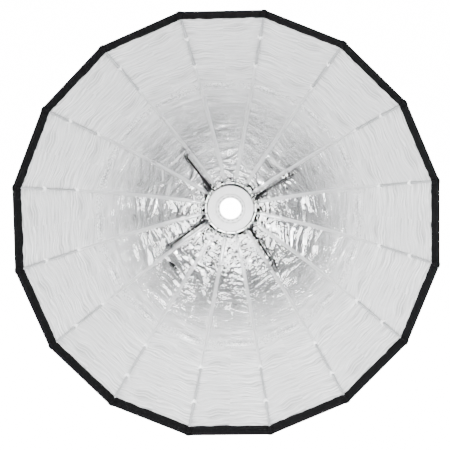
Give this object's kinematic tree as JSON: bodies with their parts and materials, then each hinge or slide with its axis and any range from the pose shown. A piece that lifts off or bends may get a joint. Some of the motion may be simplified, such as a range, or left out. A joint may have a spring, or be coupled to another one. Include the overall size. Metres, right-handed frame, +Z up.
{
  "type": "umbrella reflector",
  "caption": "Deep parabolic umbrella reflector: a silver-lined fabric bowl on folding ribs with toggle braces, round a vented hub with a lugged bayonet ring for a studio light",
  "frame": {"origin": "on the bowl's axis, in the rear face of the bayonet ring, where the light head seats", "axes": "+Y points back along the axis to the light head, -Y out of the open mouth, +Z up with the mouth facing sideways"},
  "size_m": [1.1812, 0.661, 1.1812],
  "materials": {
    "silver_lining": "metallised silver lining inside, black nylon outside, softly crinkled",
    "black_fabric": "matte black woven nylon",
    "rib_metal": "satin silver lacquer over a springy rod",
    "black_metal": "satin black powder coat, worn at edges",
    "bright_steel": "turned and lightly brushed",
    "white_plastic": "white, fine moulded grain",
    "black_plastic": "heat-proof black moulding"
  },
  "bodies": {
    "hub": {"bayonet_ring": "bright_steel", "hub_back_plate": "black_metal", "hub_front_plate": "black_plastic", "pivot_wire": "bright_steel", "front_flange": "white_plastic", "vent_ring": "white_plastic", "canopy_cuff": "black_fabric", "brace_root_pin_1": "bright_steel", "brace_root_pin_2": "bright_steel", "brace_root_pin_3": "bright_steel", "brace_root_pin_4": "bright_steel"},
    "rib_01": {"rib_01": "rib_metal", "canopy_01": "silver_lining"},
    "rib_02": {"rib_02": "rib_metal", "canopy_02": "silver_lining", "rib_bracket_1": "bright_steel"},
    "rib_03": {"rib_03": "rib_metal", "canopy_03": "silver_lining"},
    "rib_04": {"rib_04": "rib_metal", "canopy_04": "silver_lining"},
    "rib_05": {"rib_05": "rib_metal", "canopy_05": "silver_lining"},
    "rib_06": {"rib_06": "rib_metal", "canopy_06": "silver_lining", "rib_bracket_2": "bright_steel"},
    "rib_07": {"rib_07": "rib_metal", "canopy_07": "silver_lining"},
    "rib_08": {"rib_08": "rib_metal", "canopy_08": "silver_lining"},
    "rib_09": {"rib_09": "rib_metal", "canopy_09": "silver_lining"},
    "rib_10": {"rib_10": "rib_metal", "canopy_10": "silver_lining", "rib_bracket_3": "bright_steel"},
    "rib_11": {"rib_11": "rib_metal", "canopy_11": "silver_lining"},
    "rib_12": {"rib_12": "rib_metal", "canopy_12": "silver_lining"},
    "rib_13": {"rib_13": "rib_metal", "canopy_13": "silver_lining"},
    "rib_14": {"rib_14": "rib_metal", "canopy_14": "silver_lining", "rib_bracket_4": "bright_steel"},
    "rib_15": {"rib_15": "rib_metal", "canopy_15": "silver_lining"},
    "rib_16": {"rib_16": "rib_metal", "canopy_16": "silver_lining"},
    "brace_inner_1": {"brace_inner_1": "black_metal", "elbow_pin_1": "bright_steel"},
    "brace_outer_1": {"brace_outer_1": "black_metal"},
    "brace_inner_2": {"brace_inner_2": "black_metal", "elbow_pin_2": "bright_steel"},
    "brace_outer_2": {"brace_outer_2": "black_metal"},
    "brace_inner_3": {"brace_inner_3": "black_metal", "elbow_pin_3": "bright_steel"},
    "brace_outer_3": {"brace_outer_3": "black_metal"},
    "brace_inner_4": {"brace_inner_4": "black_metal", "elbow_pin_4": "bright_steel"},
    "brace_outer_4": {"brace_outer_4": "black_metal"}
  },
  "joints": [
    {"name": "rib_01_fold", "type": "hinge", "parent": "hub", "child": "rib_01", "pos_m": [0.07045, -0.01405, 0.01401], "axis": [0.1951, 0, -0.9808], "range_deg": [0, 40], "deforming": ["canopy_01"]},
    {"name": "rib_02_fold", "type": "hinge", "parent": "hub", "child": "rib_02", "pos_m": [0.05973, -0.01405, 0.03991], "axis": [0.5556, 0, -0.8315], "range_deg": [0, 40], "deforming": ["canopy_02"]},
    {"name": "rib_03_fold", "type": "hinge", "parent": "hub", "child": "rib_03", "pos_m": [0.03991, -0.01405, 0.05973], "axis": [0.8315, 0, -0.5556], "range_deg": [0, 40], "deforming": ["canopy_03"]},
    {"name": "rib_04_fold", "type": "hinge", "parent": "hub", "child": "rib_04", "pos_m": [0.01401, -0.01405, 0.07045], "axis": [0.9808, 0, -0.1951], "range_deg": [0, 40], "deforming": ["canopy_04"]},
    {"name": "rib_05_fold", "type": "hinge", "parent": "hub", "child": "rib_05", "pos_m": [-0.01401, -0.01405, 0.07045], "axis": [0.9808, 0, 0.1951], "range_deg": [0, 40], "deforming": ["canopy_05"]},
    {"name": "rib_06_fold", "type": "hinge", "parent": "hub", "child": "rib_06", "pos_m": [-0.03991, -0.01405, 0.05973], "axis": [0.8315, 0, 0.5556], "range_deg": [0, 40], "deforming": ["canopy_06"]},
    {"name": "rib_07_fold", "type": "hinge", "parent": "hub", "child": "rib_07", "pos_m": [-0.05973, -0.01405, 0.03991], "axis": [0.5556, 0, 0.8315], "range_deg": [0, 40], "deforming": ["canopy_07"]},
    {"name": "rib_08_fold", "type": "hinge", "parent": "hub", "child": "rib_08", "pos_m": [-0.07045, -0.01405, 0.01401], "axis": [0.1951, 0, 0.9808], "range_deg": [0, 40], "deforming": ["canopy_08"]},
    {"name": "rib_09_fold", "type": "hinge", "parent": "hub", "child": "rib_09", "pos_m": [-0.07045, -0.01405, -0.01401], "axis": [-0.1951, 0, 0.9808], "range_deg": [0, 40], "deforming": ["canopy_09"]},
    {"name": "rib_10_fold", "type": "hinge", "parent": "hub", "child": "rib_10", "pos_m": [-0.05973, -0.01405, -0.03991], "axis": [-0.5556, 0, 0.8315], "range_deg": [0, 40], "deforming": ["canopy_10"]},
    {"name": "rib_11_fold", "type": "hinge", "parent": "hub", "child": "rib_11", "pos_m": [-0.03991, -0.01405, -0.05973], "axis": [-0.8315, 0, 0.5556], "range_deg": [0, 40], "deforming": ["canopy_11"]},
    {"name": "rib_12_fold", "type": "hinge", "parent": "hub", "child": "rib_12", "pos_m": [-0.01401, -0.01405, -0.07045], "axis": [-0.9808, 0, 0.1951], "range_deg": [0, 40], "deforming": ["canopy_12"]},
    {"name": "rib_13_fold", "type": "hinge", "parent": "hub", "child": "rib_13", "pos_m": [0.01401, -0.01405, -0.07045], "axis": [-0.9808, 0, -0.1951], "range_deg": [0, 40], "deforming": ["canopy_13"]},
    {"name": "rib_14_fold", "type": "hinge", "parent": "hub", "child": "rib_14", "pos_m": [0.03991, -0.01405, -0.05973], "axis": [-0.8315, 0, -0.5556], "range_deg": [0, 40], "deforming": ["canopy_14"]},
    {"name": "rib_15_fold", "type": "hinge", "parent": "hub", "child": "rib_15", "pos_m": [0.05973, -0.01405, -0.03991], "axis": [-0.5556, 0, -0.8315], "range_deg": [0, 40], "deforming": ["canopy_15"]},
    {"name": "rib_16_fold", "type": "hinge", "parent": "hub", "child": "rib_16", "pos_m": [0.07045, -0.01405, -0.01401], "axis": [-0.1951, 0, -0.9808], "range_deg": [0, 40], "deforming": ["canopy_16"]},
    {"name": "brace_1_root", "type": "hinge", "parent": "hub", "child": "brace_inner_1", "pos_m": [0.07748, -0.036, 0.03253], "axis": [0.5556, 0, -0.8315], "range_deg": [0, 64]},
    {"name": "brace_1_elbow", "type": "hinge", "parent": "brace_inner_1", "child": "brace_outer_1", "pos_m": [0.12246, -0.06419, 0.06258], "axis": [0.5556, 0, -0.8315], "range_deg": [-28, 0]},
    {"name": "brace_2_root", "type": "hinge", "parent": "hub", "child": "brace_inner_2", "pos_m": [-0.05914, -0.036, 0.05971], "axis": [0.8315, 0, 0.5556], "range_deg": [0, 64]},
    {"name": "brace_2_elbow", "type": "hinge", "parent": "brace_inner_2", "child": "brace_outer_2", "pos_m": [-0.08919, -0.06419, 0.10469], "axis": [0.8315, 0, 0.5556], "range_deg": [-28, 0]},
    {"name": "brace_3_root", "type": "hinge", "parent": "hub", "child": "brace_inner_3", "pos_m": [-0.07748, -0.036, -0.03253], "axis": [-0.5556, 0, 0.8315], "range_deg": [0, 64]},
    {"name": "brace_3_elbow", "type": "hinge", "parent": "brace_inner_3", "child": "brace_outer_3", "pos_m": [-0.12246, -0.06419, -0.06258], "axis": [-0.5556, 0, 0.8315], "range_deg": [-28, 0]},
    {"name": "brace_4_root", "type": "hinge", "parent": "hub", "child": "brace_inner_4", "pos_m": [0.05914, -0.036, -0.05971], "axis": [-0.8315, 0, -0.5556], "range_deg": [0, 64]},
    {"name": "brace_4_elbow", "type": "hinge", "parent": "brace_inner_4", "child": "brace_outer_4", "pos_m": [0.08919, -0.06419, -0.10469], "axis": [-0.8315, 0, -0.5556], "range_deg": [-28, 0]}
  ],
  "couplings": [
    {"joint": "rib_02_fold", "follows": "rib_01_fold", "ratio": 1},
    {"joint": "rib_03_fold", "follows": "rib_01_fold", "ratio": 1},
    {"joint": "rib_04_fold", "follows": "rib_01_fold", "ratio": 1},
    {"joint": "rib_05_fold", "follows": "rib_01_fold", "ratio": 1},
    {"joint": "rib_06_fold", "follows": "rib_01_fold", "ratio": 1},
    {"joint": "rib_07_fold", "follows": "rib_01_fold", "ratio": 1},
    {"joint": "rib_08_fold", "follows": "rib_01_fold", "ratio": 1},
    {"joint": "rib_09_fold", "follows": "rib_01_fold", "ratio": 1},
    {"joint": "rib_10_fold", "follows": "rib_01_fold", "ratio": 1},
    {"joint": "rib_11_fold", "follows": "rib_01_fold", "ratio": 1},
    {"joint": "rib_12_fold", "follows": "rib_01_fold", "ratio": 1},
    {"joint": "rib_13_fold", "follows": "rib_01_fold", "ratio": 1},
    {"joint": "rib_14_fold", "follows": "rib_01_fold", "ratio": 1},
    {"joint": "rib_15_fold", "follows": "rib_01_fold", "ratio": 1},
    {"joint": "rib_16_fold", "follows": "rib_01_fold", "ratio": 1},
    {"joint": "brace_1_root", "follows": "rib_01_fold", "ratio": 1.5539},
    {"joint": "brace_1_elbow", "follows": "rib_01_fold", "ratio": -0.65622},
    {"joint": "brace_2_root", "follows": "rib_01_fold", "ratio": 1.5539},
    {"joint": "brace_2_elbow", "follows": "rib_01_fold", "ratio": -0.65622},
    {"joint": "brace_3_root", "follows": "rib_01_fold", "ratio": 1.5539},
    {"joint": "brace_3_elbow", "follows": "rib_01_fold", "ratio": -0.65622},
    {"joint": "brace_4_root", "follows": "rib_01_fold", "ratio": 1.5539},
    {"joint": "brace_4_elbow", "follows": "rib_01_fold", "ratio": -0.65622}
  ]
}
